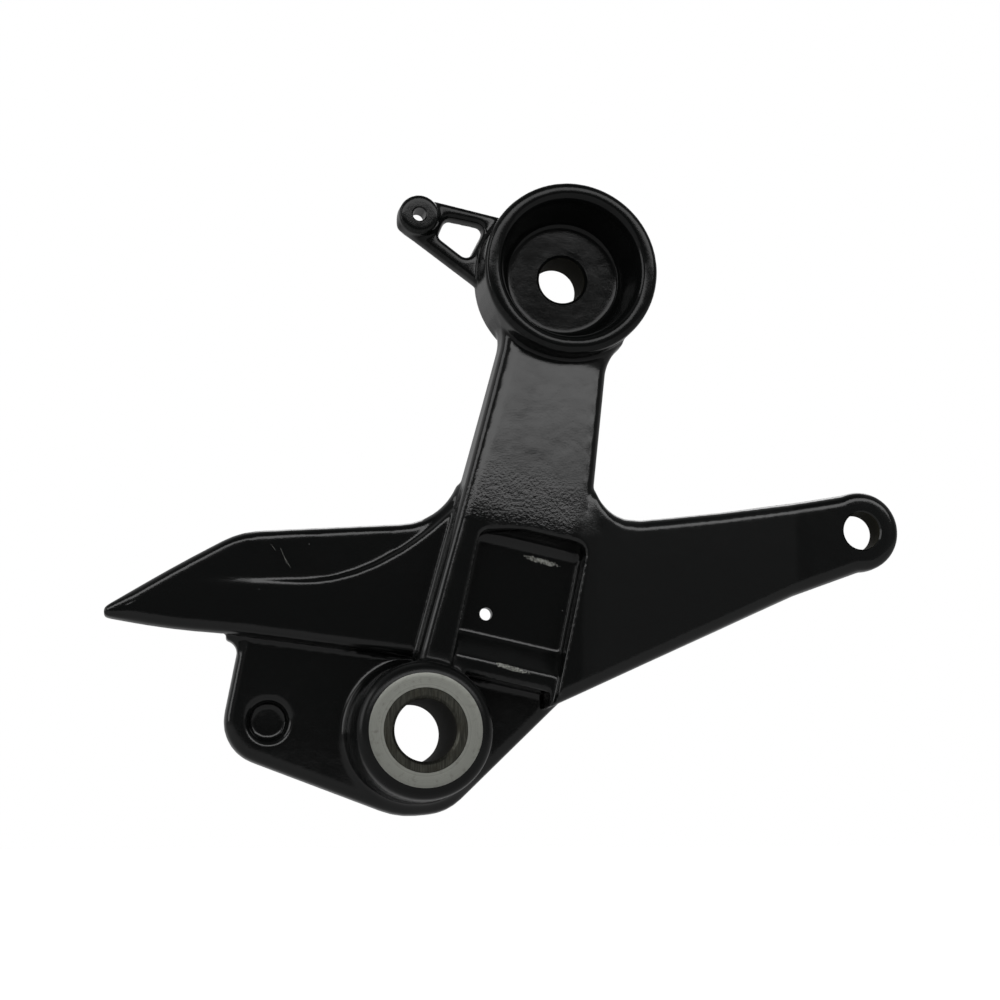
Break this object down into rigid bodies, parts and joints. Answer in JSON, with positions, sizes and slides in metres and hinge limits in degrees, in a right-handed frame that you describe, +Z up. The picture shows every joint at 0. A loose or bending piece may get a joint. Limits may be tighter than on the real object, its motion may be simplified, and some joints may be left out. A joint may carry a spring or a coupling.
{
  "type": "motorcycle footrest hanger",
  "caption": "Cast footrest hanger with a bushed pivot boss, an upper mounting cup, a footrest pocket, a rear arm with a bolt lug, a swept wing and a small cable ear.",
  "frame": {"origin": "middle of the pivot bore, on its axis and halfway between the machined outer face of the pivot boss and the boss's back end", "axes": "-Y is the outer side that the picture shows, +Z is up, +X runs from the pivot towards the rear arm and its lug"},
  "size_m": [0.2295, 0.0364, 0.1803],
  "materials": {
    "satin_black_paint": "satin black paint over cast aluminium, slightly worn",
    "bush_steel": "dark ground steel"
  },
  "bodies": {
    "root": {"hanger_casting": "satin_black_paint", "pivot_bush": "bush_steel"}
  },
  "joints": []
}
